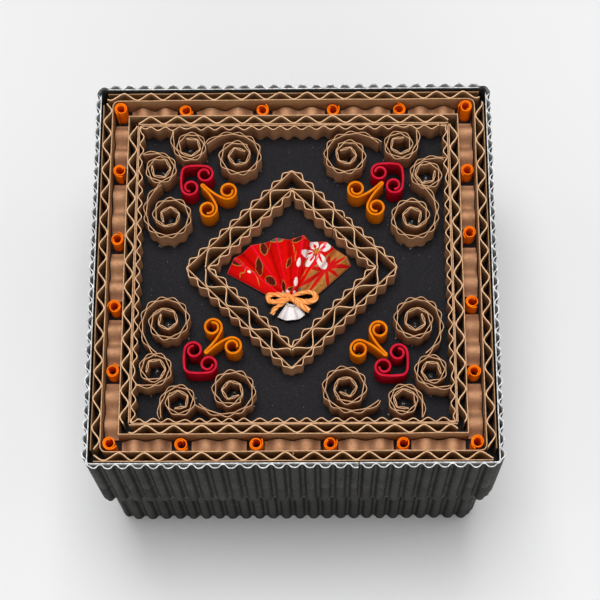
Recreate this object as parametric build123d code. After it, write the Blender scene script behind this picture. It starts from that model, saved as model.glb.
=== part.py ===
from build123d import *
import math
import os

# Gift box of card in ribbed paper, with a decorated lid. Millimetres, Z up, front towards -Y, floor at Z 0.

# Box
lid_width = 97.0  # lid shell over its skirt, square in plan
lid_height = 34.5  # ribbed strip round the lid, hem to rim
tray_height = 59.2  # tray wall, floor to brim; the lid's panel rests on the brim
rim_height = 6.8  # rim of the ribbed strip above the lid's panel
card_thickness = 0.5  # card of the lid shell and the tray
slip_gap = 0.25  # room between the lid's inside and the ribs of the tray
hem_gap = 0.6  # lid skirt ends this far above the strip's hem

# Ribbed paper: a flat liner with one row of ribs
liner_thickness = 0.3
rib_height = 1.2
rib_width = 3.63  # from valley to valley
fold_plain_width = 2.4  # strip without ribs at each side of a folded corner
seam_gap = 0.3  # between the two ends of a strip that goes all round

# Double-face board: two liners with a row of flutes between
board_depth = 2.55
flute_width = 6.6  # one whole wave
flute_thickness = 0.3

# Pieces on the panel, from the rim inwards
frame_gap = 0.4  # ribbed rim to the outer frame
rail_height = 6.4
channel_width = 4.05  # between the outer frame and the inner rails
border_gap = 0.1  # inner rails to the border strip
ornament_height = 6.2  # border strip, coils, hearts, scrolls and diamond

# Flat tiles and rolled tubes in the channel
tile_side_gap = 0.35
tile_end_gap = 0.9
tile_crest_height = 3.0
tile_valley_height = 0.8
tube_radius = 1.7
tube_thickness = 0.34
tube_height = 6.6
tube_turns = 1.17
tube_turn_depth = 0.55  # how much the roll grows in a turn

# Field inside the border: the motif below is drawn for one of this width and follows the real one
motif_field_width = 74.7

# Coils of ribbed paper
coil_gap = 0.12  # coils a and b to the ribs of the border
coil_core_radius = 2.05
coil_turn_depth = 0.72
coil_thickness = 0.45  # thickness of the pressed paper inside a coil
coil_rib_height = 0.75  # ribs of the outer turn
small_turns = 1.7
big_turns = 2.5
big_swell_depth = 1.2  # how far the outer turn of a big coil stands off
swell_turns = 0.4
big_loose_turns = 0.9
tail_turns = 0.18
small_tail_depth = 0.5
big_tail_depth = 1.3

# Hearts and double scrolls of plain quilling paper
quill_thickness = 0.5
heart_lobe_radius = 2.1
heart_gap = 0.2  # between the two lobes
heart_length = 5.4  # from the line of the lobes to the tip
heart_turns = 1.2
heart_turn_depth = 0.85
scroll_drop_length = 1.6  # from the line of the heart's lobes to the end of the stem
scroll_arm_radius = 2.3
scroll_half_width = 3.4  # from the middle to the eye of each arm
scroll_length = 5.7  # from the end of the stem to the line of the eyes
scroll_turns = 1.4
scroll_turn_depth = 0.8

# Diamond
diamond_half_width = 14.5  # half width over the inner strip's liner, across the flats
diamond_flute_depth = 3.5  # between the inner and the outer strip
diamond_flute_width = 7.6

# Fan and its bow
fan_radius = 17.4
fan_thickness = 0.35
fan_fold_height = 2.4  # height of the raised folds at the outer edge
fan_gather_height = 1.3  # height of the folds where they meet
fan_neck_radius = 1.9  # radius of the gathered neck
fan_neck_height = 2.2
fan_tail_length = 5.2
fan_tail_height = 1.8
bow_cord_width = 1.1  # width of the raffia
bow_height = 1.3
bow_loop_length = 5.8  # from the knot to the end of a loop
bow_loop_gap = 0.45  # from the middle of a loop to the raffia
bow_knot_radius = 1.3
bow_tail_length = 5.6

# Places of tubes and seam, as shares of half the lid's width; tubes go anticlockwise along a side
tube_shares = {
    "front": (-0.548, -0.182, 0.180, 0.538),
    "right": (-0.530, -0.166, 0.206, 0.550),
    "back": (-0.552, -0.206, 0.162, 0.562),
    "left": (-0.560, -0.180, 0.182, 0.520),
}
lid_seam_share = 0.32

# Places of the motif, as shares of half the field's width; coils a and b stand at the border
edge_coil_shares = {
    "back_left": {"a": 0.699, "b": 0.731},
    "back_right": {"a": 0.717, "b": 0.676},
    "front_left": {"a": 0.730, "b": 0.672},
    "front_right": {"a": 0.707, "b": 0.693},
}
coil_shares = {
    "back_left": {"c": (0.823, 0.384), "d": (0.370, 0.818)},
    "back_right": {"c": (0.792, 0.371), "d": (0.361, 0.818)},
    "front_left": {"c": (0.823, 0.345), "d": (0.392, 0.823)},
    "front_right": {"c": (0.797, 0.351), "d": (0.340, 0.805)},
}
heart_shares = {
    "back_left": (0.639, 0.636),
    "back_right": (0.623, 0.643),
    "front_left": (0.595, 0.596),
    "front_right": (0.628, 0.619),
}
diamond_shares = (-0.010, 0.013)
fan_shares = (-0.010, -0.179)

# Angles in degrees and counts
coil_ends = {"a": 44, "b": 42, "c": 76, "d": 22}
coil_spins = {"a": 1, "b": -1, "c": 1, "d": -1}
corner_signs = {"back_left": (-1, 1), "back_right": (1, 1), "front_left": (-1, -1), "front_right": (1, -1)}
side_turns = {"front": 0, "right": 1, "back": 2, "left": 3}
steps_per_turn = 7
tube_turn = 1940  # degrees that a tube's loose end turns from the middle of a side to its end
fan_from = 36
fan_to = 152
fan_folds = 11
fan_tail_from = 238
fan_tail_to = 300
fan_tail_folds = 4
bow_loop_ways = (8, 183)
bow_tail_ways = (226, 318)

# Worked out from the sizes above
half_lid = lid_width / 2
panel_top = tray_height + card_thickness
rim_top = panel_top + rim_height
lid_hem = rim_top - lid_height
half_tray = half_lid - card_thickness - slip_gap - rib_height - liner_thickness
frame_outer = half_lid - frame_gap
frame_inner = frame_outer - board_depth
rail_outer = frame_inner - channel_width
rail_inner = rail_outer - board_depth
border_back = rail_inner - border_gap
channel_middle = rail_outer + channel_width / 2
field_half = border_back - liner_thickness - rib_height
fit = 2 * field_half / motif_field_width
diamond_flat = fit * diamond_half_width + liner_thickness
diamond_outer = diamond_flat - liner_thickness + fit * diamond_flute_depth


def prism(points, bottom, height):
    outline = Polyline(*[(x, y, bottom) for x, y in points], close=True)
    return extrude(make_face(outline), amount=height, dir=(0, 0, 1))


def slab(width, depth, height, bottom):
    return Pos(0, 0, bottom) * Box(width, depth, height, align=(Align.CENTER, Align.CENTER, Align.MIN))


def on_side(points, side):
    """Turn (along, outward) places on the front side round to the named side."""
    angle = math.radians(90 * side_turns[side])
    across, up = math.cos(angle), math.sin(angle)
    return [(s * across + d * up, s * up - d * across) for s, d in points]


def turned(points, degrees):
    angle = math.radians(degrees)
    return [
        (x * math.cos(angle) - y * math.sin(angle), x * math.sin(angle) + y * math.cos(angle))
        for x, y in points
    ]


def rib_row(foot, crest, crest_shares):
    """Ribs along one side, as (along, outward) places from end to end."""
    count = int((2 * (foot - fold_plain_width)) // rib_width)
    start = -count * rib_width / 2
    row = []
    for rib in range(count):
        place = start + rib * rib_width
        row.append((place, foot))
        row.extend((place + share * rib_width, crest) for share in crest_shares)
    row.append((start + count * rib_width, foot))
    return row


def strip_loop(flat, foot, row, seam):
    """A strip folded round a square, its ends at a seam on the front and the row on its foot face."""
    first = [(s, d) for s, d in row if s > seam + seam_gap / 2]
    last = [(s, d) for s, d in row if s < seam - seam_gap / 2]
    shaped = [(seam + seam_gap / 2, foot)] + first + [(foot, foot)]
    outline = on_side(shaped, "front")
    for side in ("right", "back", "left"):
        outline += on_side(row + [(foot, foot)], side)
    outline += on_side(last + [(seam - seam_gap / 2, foot)], "front")
    outline += on_side([(seam - seam_gap / 2, flat), (-flat, flat)], "front")
    for side in ("left", "back", "right"):
        outline += on_side([(-flat, flat)], side)
    outline += on_side([(seam + seam_gap / 2, flat)], "front")
    return outline


def ribbed_loop(flat, outward, crest_shares, seam_share):
    """Ribbed strip on a square of half width flat, ribs outward or inward, seam at a valley."""
    way = 1 if outward else -1
    foot = flat + way * liner_thickness
    row = rib_row(foot, foot + way * rib_height, crest_shares)
    valleys = [s for s, d in row if d == foot][1:-1]
    seam = min(valleys, key=lambda s: abs(s - seam_share * flat))
    return strip_loop(flat, foot, row, seam)


def flute_row(start, end, low, high, width):
    """Zigzag paper between two liners, touching both."""
    halves = 2 * max(1, round((end - start) / width))
    step = (end - start) / halves
    skin = flute_thickness / math.cos(math.atan2(high - low, step))
    places = [(start + k * step, low if k % 2 == 0 else high - skin) for k in range(halves + 1)]
    return places + [(s, d + skin) for s, d in reversed(places)]


def bar(start, end, low, high):
    return [(start, low), (end, low), (end, high), (start, high)]


def ribbon(path, thickness):
    """A paper strip on edge, as an outline of the given thickness round its path."""
    left = []
    right = []
    for index, (x, y) in enumerate(path):
        before = path[max(index - 1, 0)]
        after = path[min(index + 1, len(path) - 1)]
        in_way = math.atan2(y - before[1], x - before[0]) if index else None
        out_way = math.atan2(after[1] - y, after[0] - x) if index < len(path) - 1 else in_way
        in_way = out_way if in_way is None else in_way
        bend = math.remainder(out_way - in_way, 2 * math.pi) / 2
        reach = thickness / 2 / math.cos(bend)
        normal = in_way + bend + math.pi / 2
        left.append((x + reach * math.cos(normal), y + reach * math.sin(normal)))
        right.append((x - reach * math.cos(normal), y - reach * math.sin(normal)))
    return left + right[::-1]


def spiral(centre, inner, outer, turns, end, spin):
    """Places from the eye of a spiral out to the end angle, in radians."""
    steps = round(turns * steps_per_turn)
    places = []
    for k in range(steps + 1):
        angle = end - spin * (steps - k) / steps_per_turn * 2 * math.pi
        radius = inner + k / steps * (outer - inner)
        places.append((centre[0] + radius * math.cos(angle), centre[1] + radius * math.sin(angle)))
    return places


def smooth(share):
    share = min(max(share, 0), 1)
    return share * share * (3 - 2 * share)


def coil_radius(turn, turns, swell, tail):
    opened = smooth((turn - turns + big_loose_turns) / swell_turns)
    flared = max(0, (turn - turns) / tail_turns) ** 2
    return fit * (coil_core_radius + coil_turn_depth * turn + swell * opened + tail * flared)


def coil_outline(turns, swell, tail, end, spin):
    """Rolled ribbed paper: pressed turns inside, one ribbed turn outside, and a short tail."""
    whole = turns + tail_turns
    steps = int(whole * steps_per_turn)
    inside = []
    outside = []

    def place(turn, radius):
        angle = math.radians(end) - spin * (whole - turn) * 2 * math.pi
        return (radius * math.cos(angle), radius * math.sin(angle))

    for k in range(steps, -1, -1):
        turn = whole - k / steps_per_turn
        radius = coil_radius(turn, turns, swell, tail)
        inside.append(place(turn, radius))
        if k >= steps_per_turn:
            outside.append(place(turn, radius + coil_thickness))
            continue
        outside.append(place(turn, radius + liner_thickness + fit * coil_rib_height))
        if k:
            following = coil_radius(turn + 1 / steps_per_turn, turns, swell, tail)
            chord = (radius + following) / 2 * math.cos(math.pi / steps_per_turn)
            outside.append(place(turn + 1 / steps_per_turn / 2, chord + liner_thickness))
    return inside + outside[::-1]


def heart_path():
    """Heart scroll with its tip on +Y and the two lobes on the X axis."""
    lobe = fit * heart_lobe_radius
    tip = fit * heart_length
    across = lobe + (quill_thickness + heart_gap) / 2
    leave = math.atan2(tip, across) + math.acos(lobe / math.hypot(across, tip))
    eye = lobe - fit * heart_turn_depth * heart_turns
    left = spiral((-across, 0), eye, lobe, heart_turns, leave, -1)
    return left + [(0, tip)] + [(-x, y) for x, y in reversed(left)]


def scroll_path():
    """Double scroll: a folded stem at the origin and two arms that curl outwards below it."""
    arm = fit * scroll_arm_radius
    across = fit * scroll_half_width
    length = fit * scroll_length
    meet = math.atan2(length, across) - math.acos(arm / math.hypot(across, length))
    eye = arm - fit * scroll_turn_depth * scroll_turns
    left = spiral((-across, -length), eye, arm, scroll_turns, meet, 1)
    fold = (-quill_thickness / 2, 0)
    return left + [fold] + [(-x, y) for x, y in reversed(left + [fold])]


def in_corner(points, corner):
    across, up = corner_signs[corner]
    return [(across * x, up * y) for x, y in points]


def moved(points, shares):
    return [(x + shares[0] * field_half, y + shares[1] * field_half) for x, y in points]


def folded_sheet(apex, radius, inner, first, last, folds, low, high, thickness):
    """Pleated wedge of paper round an apex: each fold is one flat facet, top and bottom."""
    top_outer = []
    top_inner = []
    for k in range(folds + 1):
        angle = math.radians(first + (last - first) * k / folds)
        lift = high if k % 2 else low
        edge = Vector(radius * math.cos(angle), radius * math.sin(angle), lift)
        top_outer.append(apex + edge)
        top_inner.append(apex + edge * (inner / radius))
    drop = Vector(0, 0, -thickness)
    bottom_outer = [place + drop for place in top_outer]
    bottom_inner = [place + drop for place in top_inner]
    quads = []
    for k in range(folds):
        quads.append((top_inner[k], top_inner[k + 1], top_outer[k + 1], top_outer[k]))
        quads.append((bottom_inner[k], bottom_outer[k], bottom_outer[k + 1], bottom_inner[k + 1]))
        quads.append((top_outer[k], top_outer[k + 1], bottom_outer[k + 1], bottom_outer[k]))
        quads.append((top_inner[k], bottom_inner[k], bottom_inner[k + 1], top_inner[k + 1]))
    for k in (0, folds):
        quads.append((top_inner[k], top_outer[k], bottom_outer[k], bottom_inner[k]))
    faces = [Face(Wire.make_polygon(quad, close=True)) for quad in quads]
    return Solid(Shell(faces))


def tile(start, end, depth):
    """Flat piece of fluted board in the front channel, flutes up, from valley to valley."""
    waves = max(1, round((end - start) / flute_width))
    step = (end - start) / waves / 2
    heights = (tile_valley_height, tile_crest_height)
    top = [(start + k * step, heights[k % 2]) for k in range(2 * waves + 1)]
    profile = [(start, 0), (end, 0)] + top[::-1]
    nearest = -channel_middle - depth / 2
    outline = Polyline(*[(x, nearest, panel_top + z) for x, z in profile], close=True)
    return extrude(make_face(outline), amount=depth, dir=(0, 1, 0))


def bow_piece(path, way):
    outline = ribbon(moved(turned(path, way), fan_shares), bow_cord_width)
    return prism(outline, panel_top + fan_neck_height, bow_height)


nodes = {}

# Base: tray and its ribbed strip
tray_inside = 2 * (half_tray - card_thickness)
nodes["base_tray"] = slab(2 * half_tray, 2 * half_tray, tray_height, 0) - slab(
    tray_inside, tray_inside, tray_height, card_thickness
)
nodes["base_cladding"] = prism(turned(ribbed_loop(half_tray, True, (0.5,), 0), 180), 0, tray_height)

# Lid shell and its ribbed strip
skirt_foot = lid_hem + hem_gap
skirt_inside = lid_width - 2 * card_thickness
nodes["lid_shell"] = slab(lid_width, lid_width, panel_top - skirt_foot, skirt_foot) - slab(
    skirt_inside, skirt_inside, tray_height - skirt_foot, skirt_foot
)
lid_strip = ribbed_loop(half_lid, True, (0.32, 0.68), lid_seam_share)
nodes["lid_cladding"] = prism(lid_strip, lid_hem, lid_height)

# Outer frame: the inner liner runs round the corners, the flutes and the outer liner stop short of them
frame_liner = strip_loop(frame_inner, frame_inner + liner_thickness, [], 0)
frame_papers = [prism(frame_liner, panel_top, rail_height)]
for side in side_turns:
    foot = frame_inner + liner_thickness
    flutes = flute_row(-frame_inner, frame_inner, foot, frame_outer - liner_thickness, flute_width)
    facing = bar(-frame_inner, frame_inner, frame_outer - liner_thickness, frame_outer)
    frame_papers.append(prism(on_side(flutes, side), panel_top, rail_height))
    frame_papers.append(prism(on_side(facing, side), panel_top, rail_height))
nodes["outer_frame"] = Compound(children=frame_papers)

# Inner rails: front and back run past the corners, left and right stand between them
for side in side_turns:
    long_side = side in ("front", "back")
    outer_end = rail_outer if long_side else rail_outer - liner_thickness
    inner_end = rail_inner if long_side else rail_inner - liner_thickness
    low = rail_inner + liner_thickness
    high = rail_outer - liner_thickness
    papers = [
        bar(-outer_end, outer_end, high, rail_outer),
        flute_row(-inner_end, inner_end, low, high, flute_width),
        bar(-inner_end, inner_end, rail_inner, low),
    ]
    rail = [prism(on_side(paper, side), panel_top, rail_height) for paper in papers]
    nodes["inner_rail_" + side] = Compound(children=rail)

nodes["border_strip"] = prism(
    turned(ribbed_loop(border_back, False, (0.5,), -1), 180), panel_top, ornament_height
)

# Rolled tubes in the channel, one at each corner, and tiles between them
tube_middle = tube_radius - tube_thickness / 2
tube_eye = tube_middle - tube_turn_depth * tube_turns
tube_outline = ribbon(spiral((0, 0), tube_eye, tube_middle, tube_turns, 0, 1), tube_thickness)
tile_depth = channel_width - 2 * tile_side_gap
for side in side_turns:
    places = [-channel_middle] + [share * half_lid for share in tube_shares[side]]
    tubes = []
    for along in places:
        rolled = turned(tube_outline, tube_turn * along / half_lid)
        placed = [(x + along, y + channel_middle) for x, y in rolled]
        tubes.append(prism(on_side(placed, side), panel_top, tube_height))
    nodes["rolled_tubes_" + side] = Compound(children=tubes)
    tiles = []
    for before, after in zip(places, places[1:] + [channel_middle]):
        start = before + tube_radius + tile_end_gap
        end = after - tube_radius - tile_end_gap
        tiles.append(Rot(0, 0, 90 * side_turns[side]) * tile(start, end, tile_depth))
    nodes["channel_tiles_" + side] = Compound(children=tiles)

# Corner clusters
small_reach = coil_radius(small_turns, small_turns, 0, 0) + liner_thickness + fit * coil_rib_height
edge_share = (field_half - coil_gap - small_reach) / field_half
for corner in corner_signs:
    edge = edge_coil_shares[corner]
    coils = {"a": (edge["a"], edge_share), "b": (edge_share, edge["b"]), **coil_shares[corner]}
    for name, shares in coils.items():
        small = name in ("a", "b")
        turns = small_turns if small else big_turns
        swell = 0 if small else big_swell_depth
        tail = small_tail_depth if small else big_tail_depth
        outline = coil_outline(turns, swell, tail, coil_ends[name], coil_spins[name])
        nodes["coil_" + corner + "_" + name] = prism(
            in_corner(moved(outline, shares), corner), panel_top, ornament_height
        )
    heart = moved(turned(ribbon(heart_path(), quill_thickness), -45), heart_shares[corner])
    nodes["heart_" + corner] = prism(in_corner(heart, corner), panel_top, ornament_height)
    stem = [(x, y - fit * scroll_drop_length) for x, y in ribbon(scroll_path(), quill_thickness)]
    scroll = moved(turned(stem, -45), heart_shares[corner])
    nodes["scroll_" + corner] = prism(in_corner(scroll, corner), panel_top, ornament_height)

# Diamond
inner_strip = moved(turned(ribbed_loop(diamond_flat, False, (0.5,), 0), 135), diamond_shares)
outer_strip = moved(turned(ribbed_loop(diamond_outer, True, (0.5,), 0), 135), diamond_shares)
nodes["diamond_inner_strip"] = prism(inner_strip, panel_top, ornament_height)
nodes["diamond_outer_strip"] = prism(outer_strip, panel_top, ornament_height)
for side in side_turns:
    flutes = flute_row(-diamond_flat, diamond_flat, diamond_flat, diamond_outer, fit * diamond_flute_width)
    nodes["diamond_flutes_" + side] = prism(
        moved(turned(on_side(flutes, side), 135), diamond_shares), panel_top, ornament_height
    )

# Fan, gathered at its neck, and the bow on top of the neck
fan_place = Vector(fan_shares[0] * field_half, fan_shares[1] * field_half, panel_top + fan_gather_height)
fan_low = fan_thickness - fan_gather_height
neck = fit * fan_neck_radius
pleats = folded_sheet(
    fan_place,
    fit * fan_radius,
    neck / 2,
    fan_from,
    fan_to,
    fan_folds,
    fan_low,
    fan_fold_height - fan_gather_height,
    fan_thickness,
)
gathers = folded_sheet(
    fan_place,
    fit * fan_tail_length,
    neck / 2,
    fan_tail_from,
    fan_tail_to,
    fan_tail_folds,
    fan_low,
    fan_tail_height - fan_gather_height,
    fan_thickness,
)
ring = moved(spiral((0, 0), neck, neck, 1, 0, 1)[:-1], fan_shares)
nodes["fan"] = prism(ring, panel_top, fan_neck_height) + pleats + gathers
loop_end = fit * bow_loop_length
loop_half = bow_loop_gap + bow_cord_width / 2
loop_path = [
    (0, loop_half),
    (loop_end / 2, loop_half),
    (loop_end - loop_half / 2, loop_half / 2),
    (loop_end - loop_half / 2, -loop_half / 2),
    (loop_end / 2, -loop_half),
    (0, -loop_half),
]
knot = moved(spiral((0, 0), fit * bow_knot_radius, fit * bow_knot_radius, 1, 0, 1)[:-1], fan_shares)
bow = prism(knot, panel_top + fan_neck_height, bow_height)
for way in bow_loop_ways:
    bow += bow_piece(loop_path, way)
for way in bow_tail_ways:
    bow += bow_piece([(0, 0), (fit * bow_tail_length, 0)], way)
nodes["fan_bow"] = bow

os.makedirs("parts", exist_ok=True)
for name, shape in nodes.items():
    export_step(shape, "parts/" + name + ".step")
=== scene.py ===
import bpy
import bmesh
import math
import numpy as np
from mathutils import Matrix, Vector


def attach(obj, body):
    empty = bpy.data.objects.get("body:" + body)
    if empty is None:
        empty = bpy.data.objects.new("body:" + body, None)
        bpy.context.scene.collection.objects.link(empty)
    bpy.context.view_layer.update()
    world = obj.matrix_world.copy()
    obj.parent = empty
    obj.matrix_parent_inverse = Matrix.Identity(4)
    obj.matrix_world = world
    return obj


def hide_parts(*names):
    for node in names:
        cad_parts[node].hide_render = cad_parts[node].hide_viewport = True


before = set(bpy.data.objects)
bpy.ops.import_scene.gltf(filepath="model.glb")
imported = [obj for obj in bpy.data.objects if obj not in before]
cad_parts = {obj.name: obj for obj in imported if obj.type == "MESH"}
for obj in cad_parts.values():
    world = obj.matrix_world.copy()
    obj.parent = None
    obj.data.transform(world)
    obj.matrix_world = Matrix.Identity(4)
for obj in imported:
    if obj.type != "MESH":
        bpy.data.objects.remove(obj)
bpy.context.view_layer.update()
mm = 0.001

box = dict(panelTop=59.7, rimTop=66.5, lidHem=32.0, halfLid=48.5, halfTray=46.25, trayTop=59.2, film=0.01, seamGap=0.3)
panelTop = box["panelTop"]
glueTop = panelTop + box["film"]  # papers stand on a film of glue
corners = dict(backLeft=(-1, 1), backRight=(1, 1), frontLeft=(-1, -1), frontRight=(1, -1))
sides = dict(front=0, right=1, back=2, left=3)
print("frame loaded:", len(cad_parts), "nodes")


class Wire:  # a socket that takes part in sums
    def __init__(self, finish, socket):
        self.finish = finish
        self.socket = socket

    def work(self, operation, left, right=0.0):
        return self.finish.add("ShaderNodeMath", {"operation": operation}, {0: left, 1: right})

    def __add__(self, other):
        return self.work("ADD", self, other)

    def __radd__(self, other):
        return self.work("ADD", other, self)

    def __sub__(self, other):
        return self.work("SUBTRACT", self, other)

    def __rsub__(self, other):
        return self.work("SUBTRACT", other, self)

    def __mul__(self, other):
        return self.work("MULTIPLY", self, other)

    def __rmul__(self, other):
        return self.work("MULTIPLY", other, self)

    def __truediv__(self, other):
        return self.work("DIVIDE", self, other)

    def atMost(self, other):
        return self.work("MINIMUM", self, other)

    def size(self):
        return self.work("ABSOLUTE", self)


class Finish:  # one material and its nodes
    def __init__(self, name, roughness=0.7, specular=0.35):
        self.material = bpy.data.materials.new(name)
        self.material.use_nodes = True
        self.tree = self.material.node_tree
        self.shader = self.tree.nodes["Principled BSDF"]
        self.shader.inputs["Roughness"].default_value = roughness
        self.shader.inputs["Specular IOR Level"].default_value = specular

    def add(self, kind, settings, inputs, output=0):
        node = self.tree.nodes.new(kind)
        for key, value in settings.items():
            setattr(node, key, value)
        for key, value in inputs.items():
            if isinstance(value, Wire):
                self.tree.links.new(value.socket, node.inputs[key])
            else:
                node.inputs[key].default_value = value
        return Wire(self, node.outputs[output])

    def place(self, stretch=(1, 1, 1)):  # object coordinates in millimetres
        raw = self.add("ShaderNodeTexCoord", {}, {}, "Object")
        scale = times(stretch, 1000)
        return self.add("ShaderNodeVectorMath", {"operation": "MULTIPLY"}, {0: raw, 1: scale})

    def part(self, vector, axis):
        return self.add("ShaderNodeSeparateXYZ", {}, {0: vector}, axis)

    def tag(self, name):  # a number stored on the mesh
        return self.add("ShaderNodeAttribute", {"attribute_name": name}, {}, "Fac")

    def noise(self, vector, scale, detail=4.0, roughness=0.55):
        inputs = {"Vector": vector, "Scale": scale, "Detail": detail, "Roughness": roughness}
        return self.add("ShaderNodeTexNoise", {}, inputs)

    def ease(self, value, low, high):  # 0 at low, 1 at high
        inputs = {"Value": value, "From Min": low, "From Max": high}
        return self.add("ShaderNodeMapRange", {"interpolation_type": "SMOOTHSTEP"}, inputs)

    def mix(self, share, first, second):
        first = (*first, 1) if isinstance(first, tuple) else first
        second = (*second, 1) if isinstance(second, tuple) else second
        return self.add("ShaderNodeMix", {"data_type": "RGBA"}, {0: share, 6: first, 7: second}, 2)

    def bump(self, height, distance, strength=1.0):
        inputs = {"Strength": strength, "Distance": distance * mm, "Height": height}
        return self.add("ShaderNodeBump", {}, inputs)

    def join(self, **links):
        names = dict(colour="Base Color", roughness="Roughness", normal="Normal")
        for key, wire in links.items():
            self.tree.links.new(wire.socket, self.shader.inputs[names[key]])
        return self.material

    def spread(self, vector, cx, cy, long, wide, turn):  # a place measured along and across a turned oval
        angle = math.radians(turn)
        x = self.part(vector, 0) - cx
        y = self.part(vector, 1) - cy
        u = (x * math.cos(angle) + y * math.sin(angle)) / long
        return u, (y * math.cos(angle) - x * math.sin(angle)) / wide

    def blotch(self, vector, cx, cy, long, wide, turn, soft=0.25):  # a soft-edged oval on the print
        u, v = self.spread(vector, cx, cy, long, wide, turn)
        return self.ease(u * u + v * v, 1 + soft, 1 - soft)

    def lens(self, vector, cx, cy, long, wide, turn, soft=0.12):  # the same with two points, like a leaf
        u, v = self.spread(vector, cx, cy, long, wide, turn)
        return self.ease(u * u + v.size(), 1 + soft, 1 - soft)


def times(colour, share):
    return tuple(share * c for c in colour)


def polar(reach, way, x, y):  # the point that far from x, y
    away = math.radians(way)
    return x + reach * math.cos(away), y + reach * math.sin(away)


def cardFinish(name, tone, roughness=0.75):  # matt black card with dust
    f = Finish(name, roughness, 0.18)
    p = f.place()
    grain = f.noise(p, 2.6, 5.0, 0.78)
    cloud = f.noise(p, 0.07, 3.0)
    base = f.mix(f.ease(cloud, 0.35, 0.7), tone, times(tone, 1.35))
    base = f.mix(f.ease(grain, 0.42, 0.7) * 0.75, base, times(tone, 2.1))
    base = f.mix(f.ease(grain, 0.5, 0.3) * 0.7, base, times(tone, 0.35))
    cell = f.add("ShaderNodeTexVoronoi", {}, {"Vector": p, "Scale": 0.8}, "Distance")
    pick = f.add("ShaderNodeTexVoronoi", {}, {"Vector": p, "Scale": 0.8}, "Color")
    chosen = f.ease(f.part(pick, 0), 0.78, 0.82)
    speck = f.ease(cell, 0.12, 0.05) * chosen * f.ease(f.noise(p, 3.0), 0.36, 0.55)
    base = f.mix(speck * 0.55, base, (0.26, 0.25, 0.25))
    lint = f.noise(f.place((1, 4, 1)), 1.1, 2.0)
    base = f.mix(f.ease(lint, 0.745, 0.775) * 0.3, base, (0.2, 0.2, 0.2))
    rough = roughness - 0.12 * f.ease(grain, 0.4, 0.7) + 0.06 * cloud
    return f.join(colour=base, roughness=rough, normal=f.bump(grain, 0.05, 0.5))


def ribbedBlackFinish(name):  # black fluting paper, with painted shade down in the flutes, and rubbed wear and a painted highlight on its crests
    f = Finish(name, 0.5, 0.015)
    p = f.place()
    fibre = f.noise(f.place((2.4, 2.4, 0.35)), 1.6, 6.0, 0.65)
    cloud = f.noise(p, 0.09, 4.0)
    base = f.mix(f.ease(cloud, 0.3, 0.72), (0.030, 0.0292, 0.0275), (0.046, 0.0447, 0.042))
    base = f.mix(f.ease(fibre, 0.45, 0.72) * 0.5, base, (0.07, 0.068, 0.064))
    crest = f.tag("crest")
    # painted shade on the flanks and down in the valleys of the flutes
    base = f.mix(f.ease(crest, 0.96, 0.55) * f.ease(crest, 0.02, 0.2) * 0.66, base, (0.003, 0.003, 0.003))
    # rubbed wear and a painted highlight, paler on the crests
    crestHighlight = f.ease(f.noise(f.place((1, 1, 0.3)), 0.8, 3.0), 0.5, 0.75) * f.ease(crest, 0.95, 1.0)
    base = f.mix(crestHighlight * 0.4, base, (0.1, 0.097, 0.092))
    z = f.part(p, 2)
    lidCrease, baseCrease = 44.4, 21.3
    gap = (z - lidCrease).size().atMost((z - baseCrease).size())
    creaseShade = f.ease(gap, 0.75, 0.35) * f.ease(crest, 0.5, 0.1) * f.ease(f.noise(p, 0.35, 2.0), 0.35, 0.5)
    base = f.mix(creaseShade * 0.85, base, (0.004, 0.004, 0.004))  # painted shade where the crease nips the valleys
    # painted glints in the valleys along the lid's hem; paler wear along the top edge
    hemGlint = f.ease(f.tag("rise"), 0.9, 0.2) * f.ease(z, 20.0, 25.0) * f.ease(crest, 0.95, 0.3)
    wornAndGlint = f.ease(f.tag("edge"), 0.8, 0.0) + 1.5 * hemGlint
    base = f.mix(wornAndGlint.atMost(1.0) * f.ease(f.noise(p, 1.6, 3.0), 0.4, 0.62) * 0.55, base, (0.27, 0.27, 0.26))
    rough = 0.55 - 0.14 * f.ease(fibre, 0.4, 0.7) - 0.08 * cloud
    return f.join(colour=base, roughness=rough, normal=f.bump(fibre, 0.06, 0.45))


def edgeFinish(name, pale, shadedEdges, crushed=0.0):  # a cut edge, its core showing
    f = Finish(name, 0.8, 0.03)
    p = f.place()
    core = f.noise(p, 1.3, 4.0)
    fine = f.noise(p, 9.0, 2.0)
    base = f.mix(f.ease(core, 0.38, 0.66), shadedEdges, pale)
    base = f.mix(f.ease(fine, 0.55, 0.8) * 0.4, base, times(shadedEdges, 0.55))
    if crushed:  # no white core shows at the two back corners
        x = f.part(p, 0)
        y = f.part(p, 1)
        near = x.size().atMost(y) + 1.2 * core
        base = f.mix(f.ease(near, crushed, crushed + 1.0), base, (0.02, 0.02, 0.02))
    return f.join(colour=base, normal=f.bump(fine, 0.08, 0.7))


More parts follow.
